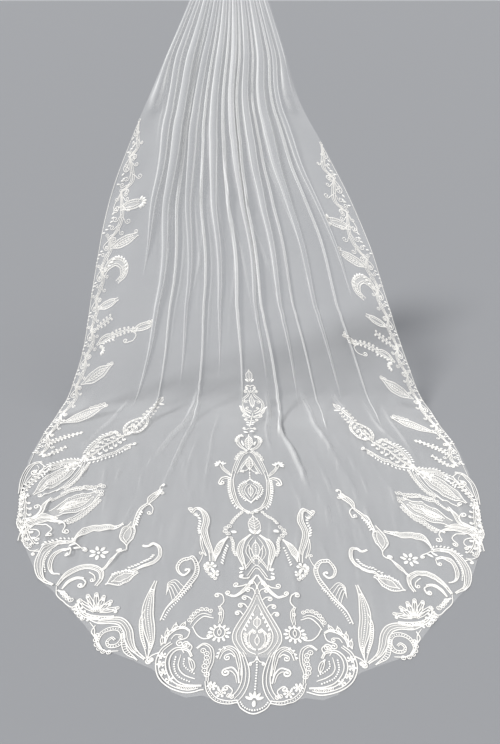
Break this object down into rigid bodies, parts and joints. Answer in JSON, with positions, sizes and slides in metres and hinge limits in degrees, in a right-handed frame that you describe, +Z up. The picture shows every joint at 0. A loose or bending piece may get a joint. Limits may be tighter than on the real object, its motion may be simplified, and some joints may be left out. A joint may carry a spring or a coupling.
{
  "type": "bridal veil",
  "caption": "Long bridal veil of one layer of tulle, gathered on a hair comb, hanging in folds and ending in a round train edged with corded lace motifs.",
  "frame": {"origin": "middle of the hair comb, where the gathered edge is held", "axes": "+X to the viewer's right, +Y away from the viewer towards the wearer, +Z up; the train lies on a floor 1.65 m below the origin and runs along -Y"},
  "size_m": [1.5713, 1.5844, 1.653],
  "materials": {
    "tulle": "matt see-through net",
    "lace": "corded lace, soft sheen",
    "satin": "satin ribbon",
    "comb": "clear ivory, polished"
  },
  "bodies": {
    "root": {"bead_arm_left": "lace", "bead_arm_right": "lace", "bead_leaf_left": "lace", "bead_leaf_right": "lace", "centre_spire": "lace", "centre_wreath": "lace", "comb_binding": "satin", "corner_palm_left": "lace", "corner_palm_right": "lace", "crescent_left": "lace", "crescent_right": "lace", "edge_spray_left": "lace", "edge_spray_right": "lace", "edge_trim_left": "lace", "edge_trim_right": "lace", "fern_scroll_left": "lace", "fern_scroll_right": "lace", "hair_comb": "comb", "hem_fan_left": "lace", "hem_fan_right": "lace", "hem_florets_left": "lace", "hem_florets_right": "lace", "hem_medallion": "lace", "hem_roundel_left": "lace", "hem_roundel_right": "lace", "hem_wave_left": "lace", "hem_wave_right": "lace", "hooked_leaf_left": "lace", "hooked_leaf_right": "lace", "lotus_bud": "lace", "ribbon_leaf_left": "lace", "ribbon_leaf_right": "lace", "rosette_drop_left": "lace", "rosette_drop_right": "lace", "scroll_plume_left": "lace", "scroll_plume_right": "lace", "side_fan_left": "lace", "side_fan_right": "lace", "side_spire_left": "lace", "side_spire_right": "lace", "star_flower_left": "lace", "star_flower_right": "lace", "tulle_panel": "tulle", "volute_left": "lace", "volute_right": "lace", "wreath_pendant": "lace"}
  },
  "joints": []
}
